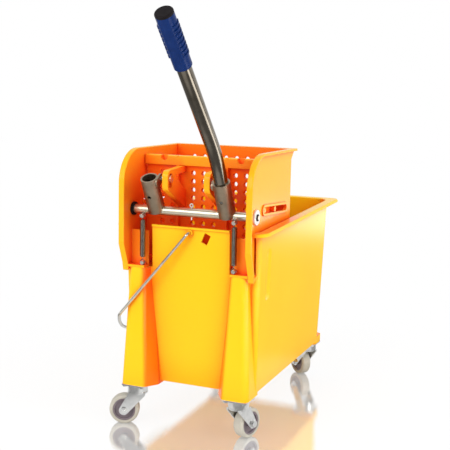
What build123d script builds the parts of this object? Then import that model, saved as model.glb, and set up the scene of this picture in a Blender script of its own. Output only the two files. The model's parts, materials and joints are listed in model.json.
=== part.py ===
from build123d import *
import os
from math import cos, radians, sin, tan

os.makedirs("parts", exist_ok=True)

# All lengths in mm. X runs across, -Y is the wringer end, Z is up from the floor.

# Fits
pin_clearance = 0.05
end_play = 0.4
slide_clearance = 0.5
seat_clearance = 0.2

# Casters
wheel_diameter = 50.0
wheel_gap = 4.0
fork_sheet = 2.5
race_height = 12.0
race_diameter = 34.0
plate_sheet = 2.5
plate_width = 42.0
plate_corner = 4.0
plate_hole_pitch = 32.0
tyre_width = 18.0
tyre_depth = 6.0
tyre_round = 3.6
fork_side_gap = 2.0
fork_eye = 16.0
fork_neck = 27.0
caster_trail = 22.0
axle_diameter = 6.0
axle_head = 10.0
axle_head_height = 4.0
axle_tip = 1.0
kingpin_diameter = 8.0
kingpin_head = 14.0
kingpin_head_height = 2.2
hub_boss = 14.0
hub_dish = 4.0
hub_rim = 3.0
hub_inset = 1.0
screw_diameter = 4.0
screw_head = 7.5
screw_head_height = 2.2
trail_angle = {"fl": 201.0, "fr": 72.0, "rl": 150.0, "rr": 140.0}

# Wringer widths set the bucket's width
wringer_width = 210.0
cheek_sheet = 4.0
cheek_side_gap = 6.0

# Bucket
wall = 4.0
floor_sheet = 4.0
side_draft = 6.0
end_draft = 7.5
wheelbase = 366.0
leg_overhang = 21.0
front_recess = 24.0
rear_overhang = 30.0
leg_width = 44.0
leg_depth = 48.0
leg_corner = 10.0
leg_lift = 5.0
leg_lean_in = 10.0
leg_lean_back = 9.0
leg_taper = 6.0
leg_flare_base = 15.0
leg_flare_top = 5.0
pad_height = 14.0
rim_height = 346.0
rim_tilt = 1.85
shelf_drop = 77.0
notch_inset = 37.0
corner_base = 38.0
corner_rim = 28.0
corner_front = 10.0
lip_width = 12.0
lip_flare = 4.0
lip_corner = 12.0
lip_drop = 6.0
lip_sheet = 3.0
lip_cut_side = 1.0
rim_bead = 2.0
lip_round = 2.0
rim_bevel = 1.2
ledge_depth = 40.0
ledge_height = 20.0
ledge_reach = 1.0
flute_radius = 36.0
flute_depth = 1.8
flute_setback = 47.0
flute_length = 85.0
flute_drop = 37.0
window_width = 11.0
window_height = 17.0
window_lean = 24.0
window_x = 27.0
front_cut_gap = 1.5

# Wringer
cheek_overhang = 29.0
cheek_height = 192.0
cheek_corner = 55.0
cheek_flange = 6.0
cheek_flange_sheet = 4.0
cheek_tip_drop = 7.0
cheek_tip = 3.0
cheek_seat_gap = 1.0
slot_bead = 4.0
cheek_flare = 42.0
cheek_round = 1.6
wringer_length = 197.0
grid_sheet = 4.0
grid_lip = 14.0
grid_pitch_x = 20.2
grid_pitch_z = 15.0
grid_side_margin = 30.0
grid_top_margin = 21.3
grid_low_margin = 38.0
drain_sheet = 4.0
drain_lift = 2.0
drain_pitch = 26.0
drain_slot = 12.0
drain_slot_share = 0.7
hole_diameter = 8.0
bracket_width = 30.0
bracket_height = 60.0

# Cross shaft and lever
shaft_setback = 33.0
shaft_rise = 94.0
shaft_diameter = 15.0
journal_diameter = 8.0
stub_diameter = 6.0
bush_flange = 22.0
bush_flange_sheet = 3.7
bush_diameter = 12.0
washer_diameter = 24.0
washer_sheet = 2.6
clip_diameter = 11.0
clip_sheet = 1.2
split_pin = 3.0
split_eye = 7.2
split_eye_hole = 3.0
split_tail = 12.0
split_flat = 0.4
stub_tip = 1.0
lever_lean = 28.0
socket_inset = 18.0
socket_diameter = 28.0
socket_length = 62.0
socket_floor = 12.0
socket_bolt_height = 33.0
bolt_diameter = 6.0
bolt_head = 10.0
bolt_head_height = 4.0
bolt_inset = 1.0
handle_diameter = 22.0
handle_wall = 1.5
handle_lower = 109.0
handle_bend = 14.7
handle_bend_radius = 250.0
handle_upper = 265.0
grip_length = 87.0
grip_sheet = 2.3
grip_ridge = 1.4
grip_ridge_width = 3.2
grip_ridge_pitch = 7.0
grip_ridge_start = 20.0
grip_ridge_count = 8
grip_flank = 18.0
cap_sheet = 4.0
cap_round = 2.5
crank_radius = 56.0
crank_lean = 16.0
crank_lug = 15.0
crank_lug_sheet = 4.0
crank_pin = 8.0
crank_head = 12.0
crank_head_sheet = 2.0
crank_sink = 2.5

# Press plate
press_setback = 37.0
press_rail_depth = 8.0
press_rail_height = 16.0
press_sheet = 4.0
press_side_gap = 2.0
press_top_drop = 11.0
press_round = 2.0
press_bottom_gap = 6.0
lever_swing = 60.0
guide_slope = 3.5
guide_lug = 9.0
guide_spacing = 48.0
guide_rise = 7.0
guide_wing_height = 22.0
guide_wing_sheet = 5.0
lug_root = 1.0
press_hole_pitch = 18.6
press_row_pitch = 13.8
press_row_drop = 12.0
rail_notch_x = 68.0
rail_notch_width = 12.0
rail_notch_depth = 9.0
arm_sheet = 10.0
arm_inset = 26.0
arm_eye_wall = 5.0
arm_foot = 27.0
arm_foot_sheet = 3.0
arm_link = 10.0
arm_foot_drop = 70.0
rib_gap = 0.85
yoke_clearance = 1.35
yoke_shift = 1.0

# Springs
spring_inset = 25.0
spring_post = 5.0
spring_post_radius = 16.0
spring_post_reach = 20.0
spring_post_droop = 25.0
spring_post_head = 7.0
spring_anchor = 4.0
spring_anchor_rise = 8.0
spring_anchor_head = 6.4
spring_diameter = 9.4
spring_wire = 1.4
spring_loop = 8.0
loop_seat_top = 0.2
loop_seat_low = 0.9
loop_root = 1.0

# Bail
bail_wire = 5.0
bail_drop = 15.0
bail_rest = 51.0
bail_arm = 182.0
bail_splay = 15.0
bail_reach = 272.0
bail_boss = 10.0
bail_boss_height = 4.0
bail_bend = 6.0
bail_shoulder = 14.0

# Derived positions
leg_z = wheel_diameter + wheel_gap + fork_sheet + race_height + plate_sheet
skirt_z = leg_z + leg_lift
swivel_y = wheelbase / 2
leg_front_y = -swivel_y - leg_overhang
tub_front_y = leg_front_y + front_recess
tub_rear_y = swivel_y + rear_overhang
tub_length_rim = tub_rear_y - tub_front_y
tub_length_base = tub_length_rim - 2 * end_draft
tub_centre_y = (tub_rear_y + tub_front_y) / 2
tub_width_rim = wringer_width + 2 * (cheek_sheet + cheek_side_gap + wall)
tub_width_base = tub_width_rim - 2 * side_draft
leg_x = tub_width_base / 2 - leg_width / 2
swivel_x = leg_x
rim_plane = Plane(
    origin=(0, tub_centre_y, rim_height),
    x_dir=(1, 0, 0),
    z_dir=(0, -sin(radians(rim_tilt)), cos(radians(rim_tilt))),
)
shelf_z = rim_height - shelf_drop
cheek_x = wringer_width / 2
cheek_out = cheek_x + cheek_sheet
spring_x = cheek_x - spring_inset
notch_inner = cheek_x - notch_inset
cheek_front_y = tub_front_y - cheek_overhang
cheek_top_z = shelf_z + cheek_height
grid_front_y = cheek_front_y + wringer_length
grid_rear_y = grid_front_y + grid_sheet
shaft_y = cheek_front_y + shaft_setback
shaft_z = shelf_z + shaft_rise
bail_z = rim_height - bail_drop


def wall_share(z):
    return (z - skirt_z) / (rim_height - skirt_z)


def side_x(z):
    return tub_width_base / 2 + side_draft * wall_share(z)


def front_y(z):
    return tub_front_y + end_draft * (1 - wall_share(z))


def rear_y(z):
    return tub_rear_y - end_draft * (1 - wall_share(z))


def save(piece, name):
    piece.part.label = name
    export_step(piece.part, "parts/" + name + ".step")


def tub_section(width, length, rear_corner, grow):
    with BuildSketch() as section:
        Rectangle(width + 2 * grow, length + 2 * grow)
        fillet(section.vertices().group_by(Axis.Y)[0], radius=corner_front + grow)
        fillet(section.vertices().group_by(Axis.Y)[-1], radius=rear_corner + grow)
    return section.sketch_local


base_outside = tub_section(tub_width_base, tub_length_base, corner_base, 0)
base_inside = tub_section(tub_width_base, tub_length_base, corner_base, -wall)
rim_outside = tub_section(tub_width_rim, tub_length_rim, corner_rim, 0)
rim_inside = tub_section(tub_width_rim, tub_length_rim, corner_rim, -wall)
rim_throat = tub_section(tub_width_rim, tub_length_rim, corner_rim, -rim_bevel - wall)
rim_mouth = tub_section(tub_width_rim, tub_length_rim, corner_rim, rim_bevel - wall)
lip_rear = lip_corner - lip_width
lip_top = tub_section(tub_width_rim, tub_length_rim, lip_rear, lip_width)
lip_hem = tub_section(tub_width_rim, tub_length_rim, lip_rear, lip_width + lip_flare)
lip_top_under = tub_section(tub_width_rim, tub_length_rim, lip_rear, lip_width - lip_sheet)
lip_hem_under = tub_section(tub_width_rim, tub_length_rim, lip_rear, lip_width + lip_flare - lip_sheet)

# Lip: rim plate with a flared hem, cut back to a bead over the front wall
with BuildPart() as lip:
    with BuildSketch(rim_plane.offset(-lip_drop)):
        add(lip_hem)
    with BuildSketch(rim_plane):
        add(lip_top)
    loft()
    fillet(lip.faces().sort_by(Axis.Z)[-1].edges(), radius=lip_round)
    with BuildSketch(rim_plane.offset(-lip_drop)):
        add(lip_hem_under)
    with BuildSketch(rim_plane.offset(-lip_sheet)):
        add(lip_top_under)
    loft(mode=Mode.SUBTRACT)
    with Locations((0, tub_front_y - rim_bead, rim_height + lip_drop)):
        Box(
            2 * (notch_inner + lip_cut_side),
            2 * (lip_width + lip_flare),
            8 * lip_drop,
            align=(Align.CENTER, Align.MAX, Align.CENTER),
            mode=Mode.SUBTRACT,
        )

# Right leg column, flared into the front panel, and its hollow
leg_y = leg_front_y + leg_depth / 2
leg_top_x = leg_x - (leg_lean_in - leg_taper) / 2
leg_top_width = leg_width - leg_lean_in - leg_taper


def leg_section(width, flare, inset):
    with BuildSketch() as section:
        with BuildLine():
            Polyline(
                (width / 2, -leg_depth / 2),
                (width / 2, leg_depth / 2),
                (-width / 2 - flare, leg_depth / 2),
                (-width / 2 - flare, front_recess - leg_depth / 2),
                (-width / 2, -leg_depth / 2),
                close=True,
            )
        make_face()
        fillet(section.vertices().group_by(Axis.Y)[0], radius=leg_corner)
        if inset:
            offset(amount=-inset, mode=Mode.REPLACE)
    return section.sketch_local


def leg_loft(low_z, high_z, inset):
    with BuildPart() as column:
        with BuildSketch(Plane.XY.offset(low_z)):
            with Locations((leg_x, leg_y)):
                add(leg_section(leg_width, leg_flare_base, inset))
        with BuildSketch(Plane.XY.offset(high_z)):
            with Locations((leg_top_x, leg_y + leg_lean_back)):
                add(leg_section(leg_top_width, leg_flare_top, inset))
        loft()
        mirror(about=Plane.YZ)
    return column


leg_columns = leg_loft(leg_z, shelf_z, 0)
leg_hollows = leg_loft(leg_z + pad_height, shelf_z - wall, wall)

# Bucket: drafted tub with two front leg columns, a lip and a notched front wall
with BuildPart() as bucket:
    with BuildSketch(Plane.XY.offset(skirt_z)):
        with Locations((0, tub_centre_y)):
            add(base_outside)
    with BuildSketch(rim_plane):
        add(rim_outside)
    loft()
    add(leg_columns)
    for side in (-1, 1):
        with BuildSketch(Plane.XY.offset(leg_z)):
            with Locations((side * leg_x, swivel_y)):
                RectangleRounded(leg_width, leg_width, leg_corner)
        extrude(amount=leg_lift + floor_sheet)
    add(lip)
    with BuildSketch(Plane.XZ.offset(-front_y(bail_z) - 3 * wall)):
        with Locations((0, bail_z)):
            Circle(bail_boss / 2)
    extrude(amount=3 * wall + bail_boss_height)
    with BuildSketch(Plane.XZ.offset(-rear_y(bail_z) + 3 * wall)):
        with Locations((0, bail_z)):
            Circle(bail_boss / 2)
    extrude(amount=-3 * wall - bail_boss_height)
    with BuildSketch(Plane.XY.offset(skirt_z + floor_sheet)):
        with Locations((0, tub_centre_y)):
            add(base_inside)
    with BuildSketch(rim_plane):
        add(rim_inside)
    loft(mode=Mode.SUBTRACT)
    with BuildSketch(rim_plane.offset(-2 * rim_bevel)):
        add(rim_throat)
    with BuildSketch(rim_plane):
        add(rim_mouth)
    loft(mode=Mode.SUBTRACT)
    add(leg_hollows, mode=Mode.SUBTRACT)
    for side in (-1, 1):
        with BuildSketch(Plane.XY.offset(leg_z)):
            with Locations((side * leg_x, swivel_y)):
                RectangleRounded(leg_width, leg_width, leg_corner)
        extrude(amount=pad_height)
    notch_outer = cheek_out + cheek_side_gap / 2
    notch_height = rim_height + lip_drop - shelf_z
    notch_depth = lip_width + lip_flare + 2 * end_draft + corner_rim
    notch_y = tub_front_y - lip_width - lip_flare
    for side in (-1, 1):
        with Locations((side * (notch_inner + notch_outer) / 2, notch_y, shelf_z)):
            Box(
                notch_outer - notch_inner,
                2 * notch_depth,
                notch_height,
                align=(Align.CENTER, Align.CENTER, Align.MIN),
                mode=Mode.SUBTRACT,
            )
    ledge_y = grid_front_y - ledge_depth
    ledge_x = cheek_x - ledge_reach
    ledge_root = side_x(shelf_z - ledge_height) - wall / 2
    for side in (-1, 1):
        with Locations((side * (ledge_x + ledge_root) / 2, ledge_y, shelf_z)):
            Box(
                ledge_root - ledge_x,
                ledge_depth,
                ledge_height,
                align=(Align.CENTER, Align.CENTER, Align.MAX),
            )
    with BuildSketch(Plane.XZ):
        with Locations((0, bail_z)):
            Circle(bail_wire / 2 + pin_clearance)
    extrude(amount=tub_length_rim, both=True, mode=Mode.SUBTRACT)
    with Locations((window_x, front_y(bail_z), bail_z - window_height / 2)):
        Box(window_width, 4 * wall, window_height, rotation=(0, window_lean, 0), mode=Mode.SUBTRACT)
    flute_z = rim_height - flute_drop - flute_length / 2
    flute_span = flute_length - 2 * (2 * flute_radius * flute_depth) ** 0.5
    for side in (-1, 1):
        flute_plane = Plane(
            origin=(side * side_x(flute_z), tub_front_y + flute_setback, flute_z),
            x_dir=(side * side_draft, 0, rim_height - skirt_z),
            z_dir=(side * (rim_height - skirt_z), 0, -side_draft),
        )
        with Locations(flute_plane.offset(flute_radius - flute_depth)):
            Cylinder(flute_radius, flute_span, rotation=(0, 90, 0), mode=Mode.SUBTRACT)
            with Locations((-flute_span / 2, 0), (flute_span / 2, 0)):
                Sphere(flute_radius, mode=Mode.SUBTRACT)

# The moulding is written as two solids that meet just behind the inside of the front wall
front_cut = Plane(
    origin=(0, tub_front_y + wall + front_cut_gap, rim_height),
    x_dir=(1, 0, 0),
    z_dir=(0, skirt_z - rim_height, -end_draft),
)
with BuildPart() as bucket_front:
    add(bucket)
    split(bisect_by=front_cut, keep=Keep.TOP)
save(bucket_front, "bucket_front")
with BuildPart() as bucket_body:
    add(bucket)
    split(bisect_by=front_cut, keep=Keep.BOTTOM)
save(bucket_body, "bucket")

# Wringer cheek: flanged side plate with a guide slot, a shaft bore and a spring bracket
press_travel = crank_radius * (sin(radians(lever_swing - crank_lean)) + sin(radians(crank_lean)))
guide_y = shaft_y + press_setback
guide_z = shaft_z + guide_rise
slot_run = guide_spacing + press_travel + 2 * slide_clearance
slot_width = guide_lug + 2 * slide_clearance
guide_dir = (cos(radians(guide_slope)), -sin(radians(guide_slope)))
slot_mid_y = guide_y + (slot_run / 2 - slide_clearance) * guide_dir[0]
slot_mid_z = guide_z + (slot_run / 2 - slide_clearance) * guide_dir[1]
bracket_y = tub_front_y
bracket_length = bracket_y + wall - leg_front_y - leg_lean_back
anchor_y = shaft_y - spring_post_radius * cos(radians(spring_post_droop))
anchor_z = shelf_z + spring_anchor_rise


def on_bead(edge):
    middle = edge @ 0.5
    in_front = abs(middle.Y - cheek_front_y) < pin_clearance
    on_top = abs(middle.Z - cheek_top_z) < pin_clearance
    on_corner = edge.geom_type == GeomType.CIRCLE and abs(edge.radius - cheek_corner) < pin_clearance
    return in_front or on_top or on_corner


with BuildPart() as wringer_right_cheek:
    with BuildSketch(Plane.YZ.offset(cheek_x)) as outline:
        with BuildLine():
            Polyline(
                (grid_rear_y, shelf_z),
                (tub_front_y - cheek_seat_gap, shelf_z),
                (leg_front_y + leg_lean_back + cheek_tip, shelf_z - cheek_tip_drop),
                (leg_front_y + leg_lean_back, shelf_z + cheek_tip_drop),
                (cheek_front_y, shelf_z + cheek_flare),
                (cheek_front_y, cheek_top_z - cheek_corner),
            )
            CenterArc((cheek_front_y + cheek_corner, cheek_top_z - cheek_corner), cheek_corner, 90, 90)
            Polyline(
                (cheek_front_y + cheek_corner, cheek_top_z),
                (grid_rear_y + grid_lip, cheek_top_z),
                (grid_rear_y + grid_lip, cheek_top_z - cheek_flange_sheet),
                (grid_rear_y, cheek_top_z - cheek_flange_sheet - grid_lip),
                (grid_rear_y, shelf_z),
            )
        make_face()
    extrude(amount=cheek_sheet)
    with BuildSketch(Plane.YZ.offset(cheek_out)):
        add(outline.sketch_local)
        offset(amount=-cheek_flange_sheet, mode=Mode.SUBTRACT)
        with Locations(
            (tub_front_y, cheek_top_z - cheek_corner),
            (cheek_front_y + cheek_corner, cheek_top_z - cheek_flange_sheet),
        ):
            Rectangle(wringer_length, 2 * cheek_height, align=(Align.MIN, Align.MAX), mode=Mode.SUBTRACT)
    extrude(amount=cheek_flange)
    cheek_edges = wringer_right_cheek.edges().group_by(Axis.X)
    fillet((cheek_edges[0] + cheek_edges[-1]).filter_by(on_bead), radius=cheek_round)
    with BuildSketch(Plane.YZ.offset(cheek_out)):
        with Locations((slot_mid_y, slot_mid_z)):
            SlotCenterToCenter(slot_run, slot_width + 2 * slot_bead, rotation=-guide_slope)
    extrude(amount=cheek_sheet / 2)
    with BuildSketch(Plane.YZ.offset(cheek_x)):
        with Locations((slot_mid_y, slot_mid_z)):
            SlotCenterToCenter(slot_run, slot_width, rotation=-guide_slope)
        with Locations((shaft_y, shaft_z)):
            Circle(bush_diameter / 2)
    extrude(amount=cheek_flange + cheek_sheet, mode=Mode.SUBTRACT)
    with Locations((cheek_x, bracket_y, shelf_z)):
        Box(bracket_width, wall, bracket_height, align=(Align.MAX, Align.MIN, Align.MIN))
    with Locations((cheek_x, bracket_y + wall, shelf_z)):
        Box(bracket_width, bracket_length, wall, align=(Align.MAX, Align.MAX, Align.MIN))
    with BuildSketch(Plane.XZ.offset(-bracket_y - wall)):
        with Locations((spring_x, anchor_z)):
            Circle(spring_anchor / 2)
    extrude(amount=wall, mode=Mode.SUBTRACT)
save(wringer_right_cheek, "wringer_right_cheek")

with BuildPart() as wringer_left_cheek:
    mirror(wringer_right_cheek.part, about=Plane.YZ)
save(wringer_left_cheek, "wringer_left_cheek")

# Back grid: perforated plate between the cheeks with a turned lip
grid_columns = int((wringer_width - 2 * grid_side_margin) / grid_pitch_x) + 1
grid_rows = int((cheek_height - grid_top_margin - grid_low_margin) / grid_pitch_z) + 1
with BuildPart() as wringer_back_grid:
    with Locations((0, grid_front_y, shelf_z)):
        Box(wringer_width, grid_sheet, cheek_height, align=(Align.CENTER, Align.MIN, Align.MIN))
    with Locations((0, grid_rear_y, cheek_top_z)):
        Box(wringer_width, grid_lip, grid_sheet, align=(Align.CENTER, Align.MIN, Align.MAX))
    with BuildSketch(Plane.XZ.offset(-grid_rear_y)):
        with Locations((0, cheek_top_z - grid_top_margin)):
            with GridLocations(
                grid_pitch_x,
                grid_pitch_z,
                grid_columns,
                grid_rows,
                align=(Align.CENTER, Align.MAX),
            ):
                Circle(hole_diameter / 2)
    extrude(amount=grid_sheet, mode=Mode.SUBTRACT)
save(wringer_back_grid, "wringer_back_grid")

# Drain floor: slotted plate under the press chamber
drain_front_y = guide_y - press_setback / 3
drain_length = grid_front_y - drain_front_y
drain_z = shelf_z + drain_lift
drain_count = int(wringer_width / drain_pitch)
with BuildPart() as wringer_drain_floor:
    with Locations((0, grid_front_y, drain_z)):
        Box(wringer_width, drain_length, drain_sheet, align=(Align.CENTER, Align.MAX, Align.MIN))
    with BuildSketch(Plane.XY.offset(drain_z)):
        with Locations((0, drain_front_y + drain_length / 2)):
            with GridLocations(drain_pitch, 1, drain_count, 1):
                SlotOverall(drain_length * drain_slot_share, drain_slot, rotation=90)
    extrude(amount=drain_sheet, mode=Mode.SUBTRACT)
save(wringer_drain_floor, "wringer_drain_floor")

# Flanged bushes in the cheeks
with BuildPart() as shaft_bush_right:
    with BuildSketch(Plane.YZ.offset(cheek_x - bush_flange_sheet)):
        with Locations((shaft_y, shaft_z)):
            Circle(bush_flange / 2)
    extrude(amount=bush_flange_sheet)
    with BuildSketch(Plane.YZ.offset(cheek_x)):
        with Locations((shaft_y, shaft_z)):
            Circle(bush_diameter / 2)
    extrude(amount=cheek_sheet)
    with BuildSketch(Plane.YZ.offset(cheek_x - bush_flange_sheet)):
        with Locations((shaft_y, shaft_z)):
            Circle(journal_diameter / 2 + pin_clearance)
    extrude(amount=bush_flange_sheet + cheek_sheet, mode=Mode.SUBTRACT)
save(shaft_bush_right, "shaft_bush_right")

with BuildPart() as shaft_bush_left:
    mirror(shaft_bush_right.part, about=Plane.YZ)
save(shaft_bush_left, "shaft_bush_left")

# Spring anchor pins, one in each spring bracket
with BuildPart() as spring_anchor_pins:
    for side in (-1, 1):
        with BuildSketch(Plane.XZ.offset(-bracket_y - wall)):
            with Locations((side * spring_x, anchor_z)):
                Circle(spring_anchor / 2)
        extrude(amount=bracket_y + wall - anchor_y + spring_wire)
        with BuildSketch(Plane.XZ.offset(-anchor_y + spring_wire)):
            with Locations((side * spring_x, anchor_z)):
                Circle(spring_anchor_head / 2)
        extrude(amount=spring_wire)
save(spring_anchor_pins, "spring_anchor_pins")

# Cross shaft with journals, stubs and the holes for posts and split pin
shaft_end = cheek_x - bush_flange_sheet - end_play
journal_end = cheek_out + end_play + washer_sheet
stub_end = journal_end + clip_sheet + stub_tip
shaft_top_z = shaft_z + shaft_diameter / 2
post_dir = (0, -cos(radians(spring_post_droop)), -sin(radians(spring_post_droop)))
post_root = shaft_diameter / 4
with BuildPart() as cross_shaft:
    with BuildSketch(Plane.YZ):
        with Locations((shaft_y, shaft_z)):
            Circle(shaft_diameter / 2)
    extrude(amount=shaft_end, both=True)
    with BuildSketch(Plane.YZ):
        with Locations((shaft_y, shaft_z)):
            Circle(journal_diameter / 2)
    extrude(amount=journal_end, both=True)
    with BuildSketch(Plane.YZ):
        with Locations((shaft_y, shaft_z)):
            Circle(stub_diameter / 2)
    extrude(amount=stub_end, both=True)
    with BuildSketch(Plane.XY.offset(shaft_z)):
        with Locations((0, shaft_y)):
            Circle(split_pin / 2)
    extrude(amount=shaft_diameter, both=True, mode=Mode.SUBTRACT)
    for side in (-1, 1):
        post_plane = Plane(origin=(side * spring_x, shaft_y, shaft_z), x_dir=(1, 0, 0), z_dir=post_dir)
        with BuildSketch(post_plane.offset(post_root)):
            Circle(spring_post / 2)
        extrude(amount=shaft_diameter, mode=Mode.SUBTRACT)
save(cross_shaft, "cross_shaft")

with BuildPart() as spring_posts:
    for side in (-1, 1):
        post_plane = Plane(origin=(side * spring_x, shaft_y, shaft_z), x_dir=(1, 0, 0), z_dir=post_dir)
        with BuildSketch(post_plane.offset(post_root)):
            Circle(spring_post / 2)
        extrude(amount=spring_post_reach - post_root)
        with BuildSketch(post_plane.offset(spring_post_reach)):
            Circle(spring_post_head / 2)
        extrude(amount=spring_wire)
save(spring_posts, "spring_posts")

with BuildPart() as shaft_split_pin:
    with BuildSketch(Plane.XY.offset(shaft_z - split_tail)):
        with Locations((0, shaft_y)):
            Circle(split_pin / 2)
    extrude(amount=split_tail + shaft_diameter / 2 + split_pin / 2)
    with BuildSketch(Plane.XZ.offset(-shaft_y)):
        with Locations((0, shaft_top_z + split_eye / 2 + end_play)):
            Circle(split_eye / 2)
            Circle(split_eye_hole / 2, mode=Mode.SUBTRACT)
    extrude(amount=split_pin * split_flat, both=True)
save(shaft_split_pin, "shaft_split_pin")

with BuildPart() as shaft_washers:
    for side in (-1, 1):
        with BuildSketch(Plane.YZ.offset(side * (cheek_out + end_play))):
            with Locations((shaft_y, shaft_z)):
                Circle(washer_diameter / 2)
                Circle(journal_diameter / 2, mode=Mode.SUBTRACT)
        extrude(amount=side * washer_sheet)
save(shaft_washers, "shaft_washers")

with BuildPart() as shaft_clips:
    for side in (-1, 1):
        with BuildSketch(Plane.YZ.offset(side * journal_end)):
            with Locations((shaft_y, shaft_z)):
                Circle(clip_diameter / 2)
                Circle(stub_diameter / 2, mode=Mode.SUBTRACT)
        extrude(amount=side * clip_sheet)
save(shaft_clips, "shaft_clips")

# Handle sockets, saddled on the shaft
lever_dir = (0, -sin(radians(lever_lean)), cos(radians(lever_lean)))
lever_back = (0, cos(radians(lever_lean)), sin(radians(lever_lean)))
socket_x = spring_x - socket_inset
arm_x = socket_x - arm_inset
socket_bore = handle_diameter / 2 + seat_clearance
crank_y = shaft_y - crank_radius * sin(radians(crank_lean))
crank_z = shaft_z + crank_radius * cos(radians(crank_lean))
crank_root_x = socket_x - socket_diameter / 2 + crank_sink
crank_tip_x = arm_x - arm_sheet / 2 - slide_clearance


def lever_plane(x, height):
    return Plane(
        origin=(x, shaft_y + height * lever_dir[1], shaft_z + height * lever_dir[2]),
        x_dir=(1, 0, 0),
        z_dir=lever_dir,
    )


def bolt_plane(x):
    return Plane(origin=lever_plane(x, socket_bolt_height).origin, x_dir=(1, 0, 0), z_dir=lever_back)


for side, name in ((-1, "socket_left"), (1, "socket_right")):
    with BuildPart() as socket:
        with BuildSketch(lever_plane(side * socket_x, 0)):
            Circle(socket_diameter / 2)
        extrude(amount=socket_length)
        lug_foot = lever_plane(socket_x, socket_length - crank_lug / 2).origin
        with BuildSketch(Plane.YZ.offset(side * crank_root_x)):
            with Locations((crank_y, crank_z), (lug_foot.Y, lug_foot.Z)):
                Circle(crank_lug / 2)
            make_hull()
        extrude(amount=-side * crank_lug_sheet)
        with BuildSketch(lever_plane(side * socket_x, socket_floor)):
            Circle(socket_bore)
        extrude(amount=socket_length, mode=Mode.SUBTRACT)
        with BuildSketch(Plane.YZ.offset(side * socket_x)):
            with Locations((shaft_y, shaft_z)):
                Circle(shaft_diameter / 2)
        extrude(amount=socket_diameter, both=True, mode=Mode.SUBTRACT)
        with BuildSketch(bolt_plane(side * socket_x)):
            Circle(bolt_diameter / 2)
        extrude(amount=socket_diameter, both=True, mode=Mode.SUBTRACT)
        with BuildSketch(Plane.YZ.offset(side * crank_root_x)):
            with Locations((crank_y, crank_z)):
                Circle(crank_pin / 2)
        extrude(amount=-side * socket_diameter / 2, mode=Mode.SUBTRACT)
    save(socket, name)

with BuildPart() as crank_pins:
    for side in (-1, 1):
        with BuildSketch(Plane.YZ.offset(side * crank_root_x)):
            with Locations((crank_y, crank_z)):
                Circle(crank_pin / 2)
        extrude(amount=side * (crank_tip_x - crank_root_x))
        with BuildSketch(Plane.YZ.offset(side * crank_tip_x)):
            with Locations((crank_y, crank_z)):
                Circle(crank_head / 2)
        extrude(amount=-side * crank_head_sheet)
save(crank_pins, "crank_pins")

# Handle: bent tube, cross bolt, ridged grip and end cap
upper_lean = lever_lean + handle_bend
upper_dir = (0, -sin(radians(upper_lean)), cos(radians(upper_lean)))
corner_y = shaft_y + handle_lower * lever_dir[1]
corner_z = shaft_z + handle_lower * lever_dir[2]
foot_y = shaft_y + socket_floor * lever_dir[1]
foot_z = shaft_z + socket_floor * lever_dir[2]
top_y = corner_y + handle_upper * upper_dir[1]
top_z = corner_z + handle_upper * upper_dir[2]
with BuildPart() as handle_tube:
    with BuildLine(Plane.YZ.offset(socket_x)) as handle_path:
        FilletPolyline((foot_y, foot_z), (corner_y, corner_z), (top_y, top_z), radius=handle_bend_radius)
    with BuildSketch(lever_plane(socket_x, socket_floor)):
        Circle(handle_diameter / 2)
        Circle(handle_diameter / 2 - handle_wall, mode=Mode.SUBTRACT)
    sweep(path=handle_path.wires()[0])
    with BuildSketch(bolt_plane(socket_x)):
        Circle(bolt_diameter / 2)
    extrude(amount=handle_diameter, both=True, mode=Mode.SUBTRACT)
save(handle_tube, "handle_tube")

with BuildPart() as handle_bolt:
    with BuildSketch(bolt_plane(socket_x).offset(bolt_inset - socket_diameter / 2)):
        Circle(bolt_diameter / 2)
    extrude(amount=socket_diameter - bolt_inset)
    with BuildSketch(bolt_plane(socket_x).offset(socket_diameter / 2)):
        RegularPolygon(bolt_head / 2, 6, major_radius=False)
    extrude(amount=bolt_head_height)
save(handle_bolt, "handle_bolt")

grip_plane = Plane(
    origin=(socket_x, top_y - grip_length * upper_dir[1], top_z - grip_length * upper_dir[2]),
    x_dir=(1, 0, 0),
    z_dir=upper_dir,
)
grip_radius = handle_diameter / 2 + grip_sheet
with BuildPart() as handle_grip:
    with BuildSketch(grip_plane):
        Circle(grip_radius)
    extrude(amount=grip_length)
    for ridge in range(grip_ridge_count):
        with BuildSketch(grip_plane.offset(grip_ridge_start + ridge * grip_ridge_pitch)):
            Circle(grip_radius + grip_ridge)
            Rectangle(4 * grip_radius, grip_flank, mode=Mode.INTERSECT)
        extrude(amount=grip_ridge_width)
    with BuildSketch(grip_plane):
        Circle(handle_diameter / 2)
    extrude(amount=grip_length, mode=Mode.SUBTRACT)
save(handle_grip, "handle_grip")

with BuildPart() as grip_cap:
    with BuildSketch(grip_plane.offset(grip_length)):
        Circle(grip_radius)
    extrude(amount=cap_sheet)
    fillet(grip_cap.edges().sort_by(Axis.Z)[-1], radius=cap_round)
save(grip_cap, "grip_cap")

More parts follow.
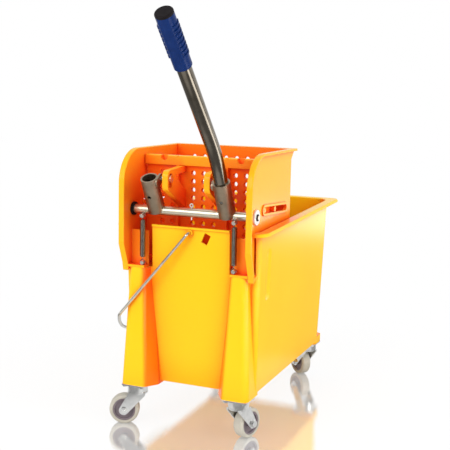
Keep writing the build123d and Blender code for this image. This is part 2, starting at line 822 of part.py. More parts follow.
# Press plate: perforated panel with a top rail, side wings and guide lugs
press_half = cheek_x - press_side_gap
press_rail_y = guide_y
press_front_y = press_rail_y + press_rail_depth
press_face_y = press_front_y + press_sheet
press_top_z = cheek_top_z - press_top_drop
press_bottom_z = drain_z + drain_sheet + press_bottom_gap
press_rows = int((press_top_z - press_rail_height - press_bottom_z - hole_diameter) / press_row_pitch)
lug_reach = cheek_out + cheek_sheet / 2 - press_half
rib_x = arm_x + arm_sheet / 2 + rib_gap
press_height = press_top_z - press_bottom_z
wing_z = guide_z - guide_spacing * tan(radians(guide_slope)) / 2
with BuildPart() as press_plate:
    with Locations((0, press_front_y, press_bottom_z)):
        Box(2 * press_half, press_sheet, press_height, align=(Align.CENTER, Align.MIN, Align.MIN))
    with Locations((0, press_front_y, press_top_z)):
        Box(2 * press_half, press_rail_depth, press_rail_height, align=(Align.CENTER, Align.MAX, Align.MAX))
    fillet(press_plate.edges().filter_by(Axis.X).group_by(Axis.Z)[-1], radius=press_round)
    for side in (-1, 1):
        with BuildSketch(Plane.XZ.offset(-press_front_y)):
            with Locations((side * rail_notch_x, press_top_z)):
                SlotOverall(2 * rail_notch_depth, rail_notch_width, rotation=90)
        extrude(amount=2 * press_rail_depth, mode=Mode.SUBTRACT)
        with Locations((side * (rib_x + press_sheet / 2), press_front_y, press_bottom_z)):
            Box(press_sheet, press_rail_depth, press_height, align=(Align.CENTER, Align.MAX, Align.MIN))
        with Locations((side * press_half, guide_y, wing_z)):
            Box(
                guide_wing_sheet,
                guide_spacing + guide_lug,
                guide_wing_height,
                align=(Align.MAX if side > 0 else Align.MIN, Align.MIN, Align.CENTER),
            )
        for lug in (0, guide_spacing):
            with BuildSketch(Plane.YZ.offset(side * (press_half - lug_root))):
                with Locations((guide_y + lug * guide_dir[0], guide_z + lug * guide_dir[1])):
                    Circle(guide_lug / 2)
            extrude(amount=side * (lug_reach + lug_root))
    with BuildSketch(Plane.XZ.offset(-press_face_y)):
        for row in range(press_rows):
            for column in (-4, -3, -1, 0, 1, 3, 4):
                with Locations(
                    (
                        column * press_hole_pitch,
                        press_top_z - press_rail_height - press_row_drop - row * press_row_pitch,
                    )
                ):
                    Circle(hole_diameter / 2)
    extrude(amount=press_sheet, mode=Mode.SUBTRACT)
save(press_plate, "press_plate")

# Drive arms: slotted eyes on the crank pins, footed on the press plate and linked to its rail
crank_drop = tan(radians(guide_slope))
crank_low = shaft_z + crank_radius * cos(radians(lever_swing - crank_lean)) + press_travel * crank_drop
crank_high = shaft_z + crank_radius * (1 + sin(radians(crank_lean)) * crank_drop)
yoke_y = crank_y + yoke_shift
yoke_width = crank_pin + 2 * yoke_clearance
eye_radius = yoke_width / 2 + arm_eye_wall
with BuildSketch() as arm_top:
    with Locations((yoke_y, crank_high + eye_radius - arm_link / 2)):
        Circle(arm_link / 2)
    with Locations((press_front_y, press_top_z - press_rail_height)):
        Rectangle(arm_foot_sheet, arm_link, align=(Align.MAX, Align.MAX))
    make_hull()
for side, name in ((-1, "drive_arm_left"), (1, "drive_arm_right")):
    with BuildPart() as arm:
        with BuildSketch(Plane.YZ.offset(side * arm_x)):
            with Locations((yoke_y, crank_low), (yoke_y, crank_high)):
                Circle(eye_radius)
            with Locations((press_front_y, press_top_z - press_rail_height - arm_foot_drop)):
                Rectangle(arm_foot_sheet, arm_foot, align=(Align.MAX, Align.MIN))
            make_hull()
            add(arm_top.sketch_local)
            with Locations((yoke_y, (crank_low + crank_high) / 2)):
                SlotCenterToCenter(crank_high - crank_low, yoke_width, rotation=90, mode=Mode.SUBTRACT)
        extrude(amount=arm_sheet / 2, both=True)
    save(arm, name)

# Return springs with a loop at each end
post_y = anchor_y
post_z = shaft_z - spring_post_radius * sin(radians(spring_post_droop))
loop_top_z = post_z - loop_seat_top
loop_low_z = anchor_z + loop_seat_low
coil_low_z = loop_low_z + spring_loop
coil_high_z = loop_top_z - spring_loop
for side, name in ((-1, "spring_left"), (1, "spring_right")):
    with BuildPart() as spring:
        with BuildSketch(Plane.XY.offset(coil_low_z)):
            with Locations((side * spring_x, post_y)):
                Circle(spring_diameter / 2)
        extrude(amount=coil_high_z - coil_low_z)
        for loop_z in (loop_low_z, loop_top_z):
            with Locations(Location((side * spring_x, post_y, loop_z), (90, 0, 0))):
                Torus(spring_loop / 2, spring_wire / 2)
        for wire_low in (loop_low_z + spring_loop / 2, coil_high_z - loop_root):
            with BuildSketch(Plane.XY.offset(wire_low)):
                with Locations((side * spring_x, post_y)):
                    Circle(spring_wire / 2)
            extrude(amount=spring_loop / 2 + loop_root)
    save(spring, name)

# Bail: wire hinged at the front and rear bosses, hanging to the left
bail_plane = Plane(
    origin=(0, 0, bail_z),
    x_dir=(-cos(radians(bail_rest)), 0, -sin(radians(bail_rest))),
    z_dir=(sin(radians(bail_rest)), 0, -cos(radians(bail_rest))),
)
bail_front_y = front_y(bail_z) - bail_boss_height - bail_bend - end_play
bail_rear_y = rear_y(bail_z) + bail_boss_height + bail_bend + end_play
bail_mid_y = (bail_front_y + bail_rear_y) / 2
with BuildPart() as bail:
    with BuildLine(bail_plane) as bail_path:
        Polyline((0, front_y(bail_z) + wall), (0, bail_front_y), (bail_arm, bail_front_y - bail_splay))
        ThreePointArc(
            (bail_arm, bail_front_y - bail_splay),
            (bail_reach, bail_mid_y),
            (bail_arm, bail_rear_y + bail_splay),
        )
        Polyline((bail_arm, bail_rear_y + bail_splay), (0, bail_rear_y), (0, rear_y(bail_z) - wall))
        hinges = bail_path.vertices().filter_by(lambda v: abs(v.X) < 1).sort_by(Axis.Y)
        fillet([hinges[0], hinges[-1]], radius=bail_bend)
        shoulders = bail_path.vertices().sort_by(Axis.Y)
        fillet([shoulders[0], shoulders[-1]], radius=bail_shoulder)
    with BuildSketch(Plane(origin=bail_path.wires()[0] @ 0, z_dir=bail_path.wires()[0] % 0)):
        Circle(bail_wire / 2)
    sweep(path=bail_path.wires()[0], transition=Transition.ROUND)
save(bail, "bail")

# Casters, each made once at the origin with its trail along +X, then placed at the corners
axle_z = wheel_diameter / 2
crown_z = wheel_diameter + wheel_gap
race_z = crown_z + fork_sheet + end_play
plate_z = leg_z - plate_sheet
fork_inside = tyre_width / 2 + fork_side_gap
fork_outside = fork_inside + fork_sheet
hub_radius = wheel_diameter / 2 - tyre_depth
with BuildPart() as plate_piece:
    with BuildSketch(Plane.XY.offset(plate_z)):
        RectangleRounded(plate_width, plate_width, plate_corner)
        with GridLocations(plate_hole_pitch, plate_hole_pitch, 2, 2):
            Circle(screw_diameter / 2, mode=Mode.SUBTRACT)
    extrude(amount=plate_sheet)
    with BuildSketch(Plane.XY.offset(race_z)):
        Circle(race_diameter / 2)
    extrude(amount=plate_z - race_z)
    with BuildSketch(Plane.XY.offset(race_z)):
        Circle(kingpin_diameter / 2)
    extrude(amount=leg_z - race_z, mode=Mode.SUBTRACT)

with BuildPart() as kingpin_piece:
    with BuildSketch(Plane.XY.offset(crown_z - end_play)):
        Circle(kingpin_diameter / 2)
    extrude(amount=leg_z - crown_z + end_play)
    with BuildSketch(Plane.XY.offset(crown_z - end_play)):
        Circle(kingpin_head / 2)
    extrude(amount=-kingpin_head_height)

with BuildPart() as fork_piece:
    with BuildSketch(Plane.XY.offset(crown_z)):
        Circle(race_diameter / 2)
    extrude(amount=fork_sheet)
    for side in (-1, 1):
        with BuildSketch(Plane.XZ.offset(side * fork_inside)):
            with Locations((caster_trail, axle_z)):
                Circle(fork_eye / 2)
            with Locations((0, crown_z + fork_sheet)):
                Rectangle(fork_neck, 2 * fork_sheet, align=(Align.CENTER, Align.MAX))
            make_hull()
            with Locations((caster_trail, axle_z)):
                Circle(axle_diameter / 2, mode=Mode.SUBTRACT)
        extrude(amount=side * fork_sheet)
        with Locations((0, side * fork_outside, crown_z)):
            Box(
                fork_neck,
                fork_sheet * 2,
                fork_sheet,
                align=(Align.CENTER, Align.MIN if side < 0 else Align.MAX, Align.MIN),
            )
    with BuildSketch(Plane.XY.offset(crown_z)):
        Circle(kingpin_diameter / 2 + pin_clearance)
    extrude(amount=fork_sheet, mode=Mode.SUBTRACT)

nut_y = fork_outside
with BuildPart() as axle_piece:
    with BuildSketch(Plane.XZ.offset(fork_outside)):
        with Locations((caster_trail, axle_z)):
            RegularPolygon(axle_head / 2, 6, major_radius=False)
    extrude(amount=axle_head_height)
    with BuildSketch(Plane.XZ.offset(fork_outside)):
        with Locations((caster_trail, axle_z)):
            Circle(axle_diameter / 2)
    extrude(amount=-2 * fork_outside - axle_head_height - axle_tip)

with BuildPart() as nut_piece:
    with BuildSketch(Plane.XZ.offset(-nut_y)):
        with Locations((caster_trail, axle_z)):
            RegularPolygon(axle_head / 2, 6, major_radius=False)
            Circle(axle_diameter / 2, mode=Mode.SUBTRACT)
    extrude(amount=-axle_head_height)

with BuildPart() as hub_piece:
    with BuildSketch(Plane.XZ):
        with Locations((caster_trail, axle_z)):
            Circle(hub_radius)
    extrude(amount=tyre_width / 2 - hub_dish, both=True)
    with BuildSketch(Plane.XZ):
        with Locations((caster_trail, axle_z)):
            Circle(hub_radius)
            Circle(hub_radius - hub_rim, mode=Mode.SUBTRACT)
    extrude(amount=tyre_width / 2 - hub_inset, both=True)
    with BuildSketch(Plane.XZ):
        with Locations((caster_trail, axle_z)):
            Circle(hub_boss / 2)
    extrude(amount=fork_inside - end_play, both=True)
    with BuildSketch(Plane.XZ):
        with Locations((caster_trail, axle_z)):
            Circle(axle_diameter / 2 + pin_clearance)
    extrude(amount=fork_inside, both=True, mode=Mode.SUBTRACT)

with BuildPart() as tyre_piece:
    with BuildSketch(Plane.XZ):
        with Locations((caster_trail, axle_z)):
            Circle(wheel_diameter / 2)
    extrude(amount=tyre_width / 2, both=True)
    fillet(tyre_piece.edges().filter_by(GeomType.CIRCLE), radius=tyre_round)
    with BuildSketch(Plane.XZ):
        with Locations((caster_trail, axle_z)):
            Circle(hub_radius)
    extrude(amount=tyre_width, both=True, mode=Mode.SUBTRACT)

corners = {
    "fl": (-swivel_x, -swivel_y),
    "fr": (swivel_x, -swivel_y),
    "rl": (-swivel_x, swivel_y),
    "rr": (swivel_x, swivel_y),
}
turning_pieces = {
    "fork": fork_piece,
    "axle": axle_piece,
    "axle_nut": nut_piece,
    "hub": hub_piece,
    "tyre": tyre_piece,
}
for corner, spot in corners.items():
    with BuildPart() as placed_plate:
        add(plate_piece.part.moved(Location((spot[0], spot[1], 0))))
    save(placed_plate, "caster_plate_" + corner)
    with BuildPart() as placed_kingpin:
        add(kingpin_piece.part.moved(Location((spot[0], spot[1], 0))))
    save(placed_kingpin, "kingpin_" + corner)
    for kind, piece in turning_pieces.items():
        with BuildPart() as placed:
            add(piece.part.moved(Location((spot[0], spot[1], 0), (0, 0, trail_angle[corner]))))
        save(placed, kind + "_" + corner)

with BuildPart() as caster_screws:
    for spot in corners.values():
        with BuildSketch(Plane.XY.offset(plate_z)):
            with Locations((spot[0], spot[1])):
                with GridLocations(plate_hole_pitch, plate_hole_pitch, 2, 2):
                    Circle(screw_diameter / 2)
        extrude(amount=plate_sheet)
        with BuildSketch(Plane.XY.offset(plate_z)):
            with Locations((spot[0], spot[1])):
                with GridLocations(plate_hole_pitch, plate_hole_pitch, 2, 2):
                    Circle(screw_head / 2)
        extrude(amount=-screw_head_height)
save(caster_screws, "caster_screws")
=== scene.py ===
import json
import math

import bmesh
import bpy
from mathutils import Matrix, Vector


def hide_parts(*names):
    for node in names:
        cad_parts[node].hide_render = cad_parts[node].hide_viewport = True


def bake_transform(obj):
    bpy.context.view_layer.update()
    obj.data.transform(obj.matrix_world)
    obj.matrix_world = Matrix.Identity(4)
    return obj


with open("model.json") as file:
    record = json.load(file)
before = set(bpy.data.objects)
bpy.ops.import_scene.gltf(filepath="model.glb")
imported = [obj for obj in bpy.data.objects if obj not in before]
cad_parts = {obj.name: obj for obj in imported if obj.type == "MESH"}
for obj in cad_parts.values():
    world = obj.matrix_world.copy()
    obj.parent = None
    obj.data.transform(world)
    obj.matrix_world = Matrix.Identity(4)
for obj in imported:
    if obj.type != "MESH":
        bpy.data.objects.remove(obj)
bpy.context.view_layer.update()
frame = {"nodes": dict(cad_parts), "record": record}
scene = bpy.context.scene
scene.view_settings.view_transform = "Standard"

# Camera: where the photograph was taken from
CAMERA_YAW = math.radians(22.33)
CAMERA_PITCH = math.radians(8.67)
CAMERA_ROLL = math.radians(1.21)
CAMERA_DISTANCE = 1.59635
CAMERA_TARGET = Vector((-0.009, -0.013, 0.32066))
CAMERA_LENS = 72.0
CAMERA_SENSOR = 36.0


def add_camera():
    back = Vector(
        (
            math.sin(CAMERA_YAW) * math.cos(CAMERA_PITCH),
            -math.cos(CAMERA_YAW) * math.cos(CAMERA_PITCH),
            math.sin(CAMERA_PITCH),
        )
    )
    level = Vector((math.cos(CAMERA_YAW), math.sin(CAMERA_YAW), 0.0))
    upright = back.cross(level)
    right = level * math.cos(CAMERA_ROLL) + upright * math.sin(CAMERA_ROLL)
    up = back.cross(right)
    data = bpy.data.cameras.new("camera")
    data.sensor_width = CAMERA_SENSOR
    data.lens = CAMERA_LENS
    camera = bpy.data.objects.new("camera", data)
    scene.collection.objects.link(camera)
    turn = Matrix((right, up, back)).transposed().to_4x4()
    camera.matrix_world = Matrix.Translation(CAMERA_TARGET + back * CAMERA_DISTANCE) @ turn
    scene.camera = camera


add_camera()


# Helpers for shader nodes
def new_material(name):
    material = bpy.data.materials.new(name)
    material.use_nodes = True
    tree = material.node_tree
    return material, tree, tree.nodes["Principled BSDF"]


def feed(tree, value, socket):
    if isinstance(value, float):
        socket.default_value = value
    else:
        tree.links.new(value, socket)


def noise(tree, scale, detail=3.0, roughness=0.5):
    where = tree.nodes.new("ShaderNodeTexCoord")
    grain = tree.nodes.new("ShaderNodeTexNoise")
    grain.inputs["Scale"].default_value = scale
    grain.inputs["Detail"].default_value = detail
    grain.inputs["Roughness"].default_value = roughness
    tree.links.new(where.outputs["Object"], grain.inputs["Vector"])
    return grain.outputs["Fac"]


def grey(value):
    return (value, value, value)


def ramp(tree, fac, stops):
    node = tree.nodes.new("ShaderNodeValToRGB")
    elements = node.color_ramp.elements
    while len(elements) < len(stops):
        elements.new(0.5)
    for element, (position, colour) in zip(elements, stops):
        element.position = position
        element.color = (*colour, 1.0)
    tree.links.new(fac, node.inputs["Fac"])
    return node.outputs["Color"]


def spread(tree, fac, low, high):
    node = tree.nodes.new("ShaderNodeMapRange")
    node.inputs["To Min"].default_value = low
    node.inputs["To Max"].default_value = high
    tree.links.new(fac, node.inputs["Value"])
    return node.outputs["Result"]


def smooth(tree, value, start, end, low, high):
    node = tree.nodes.new("ShaderNodeMapRange")
    node.interpolation_type = "SMOOTHSTEP"
    node.inputs["From Min"].default_value = start
    node.inputs["From Max"].default_value = end
    node.inputs["To Min"].default_value = low
    node.inputs["To Max"].default_value = high
    tree.links.new(value, node.inputs["Value"])
    return node.outputs["Result"]


def split(tree, vector):
    node = tree.nodes.new("ShaderNodeSeparateXYZ")
    tree.links.new(vector, node.inputs["Vector"])
    return node.outputs


def math_node(tree, operation, one, two):
    node = tree.nodes.new("ShaderNodeMath")
    node.operation = operation
    feed(tree, one, node.inputs[0])
    feed(tree, two, node.inputs[1])
    return node.outputs["Value"]


def multiply(tree, one, two):
    node = tree.nodes.new("ShaderNodeMix")
    node.data_type = "RGBA"
    node.blend_type = "MULTIPLY"
    node.inputs[0].default_value = 1.0
    tree.links.new(one, node.inputs[6])
    tree.links.new(two, node.inputs[7])
    return node.outputs[2]


def mix_values(tree, fac, one, two):
    node = tree.nodes.new("ShaderNodeMix")
    feed(tree, fac, node.inputs["Factor"])
    feed(tree, one, node.inputs["A"])
    feed(tree, two, node.inputs["B"])
    return node.outputs["Result"]


def mix_shaders(tree, fac, one, two):
    node = tree.nodes.new("ShaderNodeMixShader")
    feed(tree, fac, node.inputs["Fac"])
    tree.links.new(one, node.inputs[1])
    tree.links.new(two, node.inputs[2])
    return node.outputs["Shader"]


# Materials. Bump depths and edge radii are in metres
GRAIN_LOW, GRAIN_HIGH = 0.3, 0.7
SKIN_DEPTH = 0.0004
METAL_DEPTH = 0.0002
METAL_LIFT = 0.05
METAL_EDGE = 0.0004
PLASTIC_EDGE = 0.0006
PLASTIC_SKIN = 8
EDGE_SAMPLES = 4
YELLOW_SAMPLES = 12
YELLOW_CLOUD_SCALE = 6.0
YELLOW_CLOUD = [(GRAIN_LOW, (1.0, 0.95, 0.8)), (GRAIN_HIGH, grey(1.0))]
YELLOW_SHEEN_SCALE = 40.0
YELLOW_ROUGH = (0.16, 0.26)
YELLOW_SKIN_SCALE = 900.0
YELLOW_LIFT = 0.04
YELLOW_GLOSS = 1.26
INWARD_SHADE_RANGE = (-0.12, -0.01, 1.0, 0.0)


def finish_surface(tree, bsdf, height, strength, distance, edge):
    node = tree.nodes.new("ShaderNodeBump")
    node.inputs["Strength"].default_value = strength
    node.inputs["Distance"].default_value = distance
    tree.links.new(height, node.inputs["Height"])
    if edge:
        soft = tree.nodes.new("ShaderNodeBevel")
        soft.samples = EDGE_SAMPLES
        soft.inputs["Radius"].default_value = edge
        tree.links.new(soft.outputs["Normal"], node.inputs["Normal"])
    tree.links.new(node.outputs["Normal"], bsdf.inputs["Normal"])


def inward_shade_mask(tree):
    # Rises to 1 the further a face stands from the middle plane of the bucket that it looks at. This masks
    # painted shade on the faces that look inward
    where = tree.nodes.new("ShaderNodeTexCoord")
    shape = tree.nodes.new("ShaderNodeNewGeometry")
    place = split(tree, where.outputs["Object"])["X"]
    normal = split(tree, shape.outputs["True Normal"])["X"]
    return smooth(tree, math_node(tree, "MULTIPLY", place, normal), *INWARD_SHADE_RANGE)


def yellow_plastic(name, reach, painted_shade, edge, inner_shade=None):
    material, tree, bsdf = new_material(name)
    # Base colour carries painted shade: a ramp on ambient occlusion, and for the bucket a second ramp on
    # the faces that look inward
    occlusion_shade = tree.nodes.new("ShaderNodeAmbientOcclusion")
    occlusion_shade.inputs["Distance"].default_value = reach
    occlusion_shade.samples = YELLOW_SAMPLES
    cloud = ramp(tree, noise(tree, YELLOW_CLOUD_SCALE, 2.0), YELLOW_CLOUD)
    colour = multiply(tree, ramp(tree, occlusion_shade.outputs["AO"], painted_shade), cloud)
    if inner_shade:
        colour = multiply(tree, colour, ramp(tree, inward_shade_mask(tree), inner_shade))
    tree.links.new(colour, bsdf.inputs["Base Color"])
    sheen = spread(tree, noise(tree, YELLOW_SHEEN_SCALE), *YELLOW_ROUGH)
    tree.links.new(sheen, bsdf.inputs["Roughness"])
    bsdf.inputs["IOR"].default_value = YELLOW_GLOSS
    finish_surface(tree, bsdf, noise(tree, YELLOW_SKIN_SCALE, 2.0), YELLOW_LIFT, SKIN_DEPTH, edge)
    return material


def grained(name, low, high, rough, scale, grit):
    material, tree, bsdf = new_material(name)
    grain = noise(tree, scale, 4.0, grit)
    tree.links.new(ramp(tree, grain, [(GRAIN_LOW, low), (GRAIN_HIGH, high)]), bsdf.inputs["Base Color"])
    tree.links.new(spread(tree, grain, *rough), bsdf.inputs["Roughness"])
    return material, tree, bsdf, grain


def metal(name, low, high, rough, scale=60.0, shine=1.0):
    material, tree, bsdf, grain = grained(name, low, high, rough, scale, 0.6)
    bsdf.inputs["Metallic"].default_value = shine
    finish_surface(tree, bsdf, grain, METAL_LIFT, METAL_DEPTH, METAL_EDGE)
    return material


def plastic(name, low, high, rough, scale=80.0, lift=0.08, gloss=1.45):
    material, tree, bsdf, _ = grained(name, low, high, rough, scale, 0.55)
    bsdf.inputs["IOR"].default_value = gloss
    finish_surface(tree, bsdf, noise(tree, scale * PLASTIC_SKIN, 2.0), lift, SKIN_DEPTH, PLASTIC_EDGE)
    return material


# Painted shade on the wringer's plastic: its colour runs from red where ambient occlusion is deep, in its
# corners, to yellow where it is open
WRINGER_SHADE_REACH = 0.25
WRINGER_EDGE = 0.0012
WRINGER_PAINTED_SHADE = [
    (0.25, (1.0, 0.105, 0.008)),
    (0.50, (1.0, 0.22, 0.012)),
    (0.74, (1.0, 0.37, 0.010)),
    (0.94, (1.0, 0.48, 0.011)),
]
# The bucket's plastic takes painted shade the same way, apart from its most occluded places, its inside and
# underside, which come first with a lighter yellow as painted light
BUCKET_SHADE_REACH = 0.13
BUCKET_EDGE = 0.0
BUCKET_PAINTED_LIGHT_AND_SHADE = [
    (0.39, (1.0, 0.60, 0.03)),
    (0.48, (1.0, 0.14, 0.006)),
    (0.60, (1.0, 0.25, 0.007)),
    (0.76, (1.0, 0.46, 0.009)),
    (0.93, (1.0, 0.61, 0.010)),
]
# Painted shade on its faces that look at the middle: red on the front columns, near the middle, and yellow
# on the side walls
BUCKET_INWARD_SHADE = [
    (0.0, grey(1.0)),
    (0.25, (1.0, 0.52, 0.6)),
    (0.65, (1.0, 0.44, 0.6)),
    (0.95, (1.0, 1.0, 0.6)),
]

# By material slot
LOOKS = {
    "yellow_plastic": yellow_plastic("yellow_plastic", WRINGER_SHADE_REACH, WRINGER_PAINTED_SHADE, WRINGER_EDGE),
    "dark_plastic": plastic(
        "dark_plastic", (0.008, 0.006, 0.007), (0.015, 0.012, 0.013), (0.4, 0.55), gloss=1.15
    ),
    "bright_steel": metal("bright_steel", (0.66, 0.61, 0.52), (0.84, 0.79, 0.69), (0.14, 0.24)),
    "socket_steel": metal("socket_steel", (0.30, 0.23, 0.16), (0.39, 0.31, 0.22), (0.34, 0.42), 90.0),
    "tube_steel": metal("tube_steel", (0.15, 0.13, 0.10), (0.21, 0.185, 0.15), (0.10, 0.18)),
    "blue_grip": plastic(
        "blue_grip", (0.003, 0.020, 0.11), (0.005, 0.027, 0.14), (0.20, 0.28), lift=0.01, gloss=1.2
    ),
    "white_plastic": plastic("white_plastic", (0.78, 0.78, 0.76), (0.86, 0.86, 0.84), (0.3, 0.4)),
    "zinc": metal("zinc", (0.70, 0.70, 0.69), (0.90, 0.90, 0.88), (0.06, 0.15), 45.0, 0.95),
    "hub_plastic": plastic("hub_plastic", (0.19, 0.15, 0.17), (0.25, 0.20, 0.22), (0.4, 0.5)),
    "tread": plastic("tread", (0.46, 0.43, 0.36), (0.58, 0.55, 0.47), (0.5, 0.65), 50.0),
}
BUCKET_LOOK = yellow_plastic("yellow_moulding", BUCKET_SHADE_REACH, BUCKET_PAINTED_LIGHT_AND_SHADE, BUCKET_EDGE, BUCKET_INWARD_SHADE)
SHAFT_LOOK = metal("shaft_steel", (0.64, 0.57, 0.44), (0.76, 0.69, 0.54), (0.28, 0.36), 120.0)
SPRING_LOOK = metal("spring_steel", (0.20, 0.175, 0.15), (0.34, 0.30, 0.26), (0.14, 0.24), 300.0)
# Nodes that differ from their slot
NODE_LOOKS = {
    "bucket": BUCKET_LOOK,
    "bucket_front": BUCKET_LOOK,
    "cross_shaft": SHAFT_LOOK,
    # The handle bolt wears the dark spring steel as painted shade, so that its head reads as a dark open
    # hole
    "handle_bolt": SPRING_LOOK,
}


def dress_nodes():
    for part in frame["record"]["subparts"]:
        obj = frame["nodes"][part["node"]]
        look = NODE_LOOKS.get(part["node"], LOOKS[part["material_slot"]])
        for slot in obj.material_slots:
            slot.material = look
        if not obj.material_slots:
            obj.data.materials.append(look)


dress_nodes()

# Return springs: close wound coils with a loop on the anchor pin and one on the lever's post
SPRING_X = 0.080
SPRING_Y = -0.1905
SPRING_LOW = 0.2779
SPRING_TOP = 0.35604
SPRING_LOOP = 0.004
SPRING_WIRE = 0.0014
SPRING_WIRE_SIDES = 2
SPRING_COIL = 0.004
SPRING_TAPER = 0.2
SPRING_TURNS = 39
SPRING_STEPS = 20


def loop_path(height, start):
    points = []
    for step in range(SPRING_STEPS + 1):
        turn = start + 2 * math.pi * step / SPRING_STEPS
        points.append((SPRING_LOOP * math.cos(turn), 0.0, height + SPRING_LOOP * math.sin(turn)))
    return points


def coil_path(low, high):
    points = []
    for step in range(SPRING_TURNS * SPRING_STEPS + 1):
        turn = 2 * math.pi * step / SPRING_STEPS
        share = step / (SPRING_TURNS * SPRING_STEPS)
        grown = min(1.0, step / SPRING_STEPS, SPRING_TURNS - step / SPRING_STEPS)
        radius = SPRING_COIL * max(grown, SPRING_TAPER)
        points.append((radius * math.cos(turn), radius * math.sin(turn), low + share * (high - low)))
    return points


def spring_path():
    low = SPRING_LOW + 2 * SPRING_LOOP
    high = SPRING_TOP - 2 * SPRING_LOOP
    points = loop_path(SPRING_LOW, math.pi / 2)
    points.append((0.0, 0.0, low - SPRING_WIRE))
    points += coil_path(low, high)
    points.append((0.0, 0.0, high + SPRING_WIRE))
    return points + loop_path(SPRING_TOP, -math.pi / 2)


def add_spring(name, node, x):
    curve = bpy.data.curves.new(name, "CURVE")
    curve.dimensions = "3D"
    curve.bevel_depth = SPRING_WIRE / 2
    curve.bevel_resolution = SPRING_WIRE_SIDES
    curve.use_fill_caps = True
    points = spring_path()
    spline = curve.splines.new("POLY")
    spline.points.add(len(points) - 1)
    for point, place in zip(spline.points, points):
        point.co = (place[0] + x, place[1] + SPRING_Y, place[2], 1.0)
    draft = bpy.data.objects.new(name + "_path", curve)
    mesh = bpy.data.meshes.new_from_object(draft)
    mesh.name = name
    bpy.data.objects.remove(draft)
    mesh.polygons.foreach_set("use_smooth", [True] * len(mesh.polygons))
    mesh.materials.clear()
    mesh.materials.append(SPRING_LOOK)
    piece = bpy.data.objects.new(name, mesh)
    scene.collection.objects.link(piece)
    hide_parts(node)
    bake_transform(piece)


add_spring("coil_left", "spring_left", -SPRING_X)
add_spring("coil_right", "spring_right", SPRING_X)

# Stage. Ranges are start and end in metres from the origin, then the values there
WHITE = (1.0, 1.0, 1.0, 1.0)
FLOOR_REACH = 6.0
FLOOR_SHADE_SCALE = 1.5
FLOOR_SHADE = [(0.2, grey(0.93)), (0.8, grey(0.95))]
FLOOR_FADE = (0.35, 1.0, 0.66, 1.0)
FLOOR_MIRROR = 0.65
FLOOR_GRIT = 0.04
# Bands of painted glow on the floor, seen only by glossy rays
MIRRORED_FAR = (1.3, 2.6, 0.3, 1.0)
MIRRORED_NEAR = (0.30, 0.40, 0.75, 0.0)
MIRRORED_RIGHT_START = (0.48, 0.70, 0.0, 0.7)
MIRRORED_RIGHT_END = (0.92, 1.04, 1.0, 0.0)
MIRRORED_RIGHT_BACK = (0.40, 0.60, 1.0, 0.0)
MIRRORED_FRONT_START = (-0.95, -0.80, 0.0, 1.0)
MIRRORED_FRONT_END = (-0.44, -0.38, 1.0, 0.0)


def floor_mirror(tree, place):
    # Fine random tilts blur the mirror image, and each ray still counts as singular in the world's nodes
    gloss = tree.nodes.new("ShaderNodeBsdfGlossy")
    gloss.inputs["Color"].default_value = WHITE
    gloss.inputs["Roughness"].default_value = 0.0
    grit = tree.nodes.new("ShaderNodeTexWhiteNoise")
    tree.links.new(place, grit.inputs["Vector"])
    tilt = tree.nodes.new("ShaderNodeVectorMath")
    tilt.operation = "MULTIPLY_ADD"
    tree.links.new(grit.outputs["Color"], tilt.inputs[0])
    tilt.inputs[1].default_value = (FLOOR_GRIT, FLOOR_GRIT, 0.0)
    tilt.inputs[2].default_value = (-FLOOR_GRIT / 2, -FLOOR_GRIT / 2, 1.0)
    upright = tree.nodes.new("ShaderNodeVectorMath")
    upright.operation = "NORMALIZE"
    tree.links.new(tilt.outputs["Vector"], upright.inputs[0])
    tree.links.new(upright.outputs["Vector"], gloss.inputs["Normal"])
    return gloss.outputs["BSDF"]


def painted_floor_glow(tree, place, length):
    # What polished pieces mirror: a floor that glows with painted light, dim, with painted bright bands on
    # the right and in front, and white far off and below
    axes = split(tree, place)
    right = smooth(tree, axes["X"], *MIRRORED_RIGHT_START)
    right = math_node(tree, "MULTIPLY", right, smooth(tree, axes["X"], *MIRRORED_RIGHT_END))
    right = math_node(tree, "MULTIPLY", right, smooth(tree, axes["Y"], *MIRRORED_RIGHT_BACK))
    front = smooth(tree, axes["Y"], *MIRRORED_FRONT_START)
    front = math_node(tree, "MULTIPLY", front, smooth(tree, axes["Y"], *MIRRORED_FRONT_END))
    painted_glow = smooth(tree, length, *MIRRORED_FAR)
    for part in (right, front, smooth(tree, length, *MIRRORED_NEAR)):
        painted_glow = math_node(tree, "MAXIMUM", painted_glow, part)
    glow = tree.nodes.new("ShaderNodeEmission")
    tree.links.new(painted_glow, glow.inputs["Strength"])
    return glow.outputs["Emission"]


def floor_material():
    material, tree, bsdf = new_material("floor_gloss")
    tree.nodes.remove(bsdf)
    path = tree.nodes.new("ShaderNodeLightPath")
    place = tree.nodes.new("ShaderNodeTexCoord").outputs["Object"]
    length = tree.nodes.new("ShaderNodeVectorMath")
    length.operation = "LENGTH"
    tree.links.new(place, length.inputs[0])
    length = length.outputs["Value"]
    matt = tree.nodes.new("ShaderNodeBsdfDiffuse")
    shade = ramp(tree, noise(tree, FLOOR_SHADE_SCALE), FLOOR_SHADE)
    tree.links.new(shade, matt.inputs["Color"])
    matt = matt.outputs["BSDF"]
    # What the camera sees: a soft shadow that fades to white, and a mirror image
    white = tree.nodes.new("ShaderNodeEmission").outputs["Emission"]
    seen = mix_shaders(tree, smooth(tree, length, *FLOOR_FADE), matt, white)
    seen = mix_shaders(tree, FLOOR_MIRROR, seen, floor_mirror(tree, place))
    other = mix_shaders(tree, path.outputs["Is Glossy Ray"], matt, painted_floor_glow(tree, place, length))
    both = mix_shaders(tree, path.outputs["Is Camera Ray"], other, seen)
    tree.links.new(both, tree.nodes["Material Output"].inputs["Surface"])
    return material


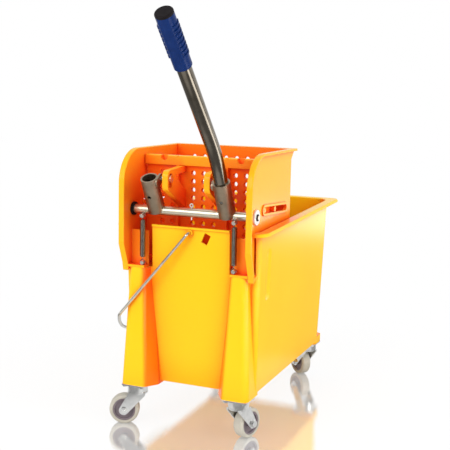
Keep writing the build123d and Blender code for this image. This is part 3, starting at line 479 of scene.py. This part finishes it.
def add_floor():
    mesh = bpy.data.meshes.new("floor")
    work = bmesh.new()
    bmesh.ops.create_grid(work, x_segments=1, y_segments=1, size=FLOOR_REACH)
    work.to_mesh(mesh)
    work.free()
    floor = bpy.data.objects.new("floor", mesh)
    scene.collection.objects.link(floor)
    mesh.materials.append(floor_material())


# World: white to the camera, dimmer at the front to polished pieces, and even light for the rest
ROOM_WHITE = 1.0
ROOM_MIRRORED = (-0.45, 0.15, 0.3, 1.0)
ROOM_LIGHT = 0.80


def add_world():
    world = bpy.data.worlds.new("studio")
    scene.world = world
    world.use_nodes = True
    tree = world.node_tree
    sky = tree.nodes["Background"]
    sky.inputs["Color"].default_value = WHITE
    path = tree.nodes.new("ShaderNodeLightPath").outputs
    where = tree.nodes.new("ShaderNodeTexCoord")
    room = smooth(tree, split(tree, where.outputs["Generated"])["Y"], *ROOM_MIRRORED)
    # The floor's own mirror image shows the plain white room
    room = mix_values(tree, path["Is Singular Ray"], room, ROOM_WHITE)
    room = mix_values(tree, path["Is Glossy Ray"], ROOM_WHITE, room)
    room = mix_values(tree, path["Is Diffuse Ray"], room, ROOM_LIGHT)
    tree.links.new(room, sky.inputs["Strength"])


# Lamps: place, aim, size and power. Only polished pieces show the streak, along the tube
LAMPS = {
    "key": ((1.65, -0.28, 1.05), (0.0, 0.0, 0.4), (0.36, 1.3), 11.0),
    "fill": ((-0.7, -2.3, 1.4), (0.0, 0.0, 0.3), (1.4, 1.4), 24.0),
    "card": ((0.85, 1.55, 0.075), (0.1, 0.0, 0.075), (1.5, 0.11), 1.1),
    "streak": ((0.74, -0.3, 0.10), (0.06, -0.28, 0.53), (1.3, 0.2), 3.2),
}


def add_lamps():
    for name, (place, aim, size, power) in LAMPS.items():
        data = bpy.data.lights.new(name, "AREA")
        data.shape = "RECTANGLE"
        data.size, data.size_y = size
        data.energy = power
        lamp = bpy.data.objects.new(name, data)
        scene.collection.objects.link(lamp)
        lamp.location = place
        lamp.rotation_euler = (Vector(aim) - Vector(place)).to_track_quat("-Z", "Y").to_euler()
        lamp.visible_diffuse = name != "streak"


add_floor()
add_world()
add_lamps()
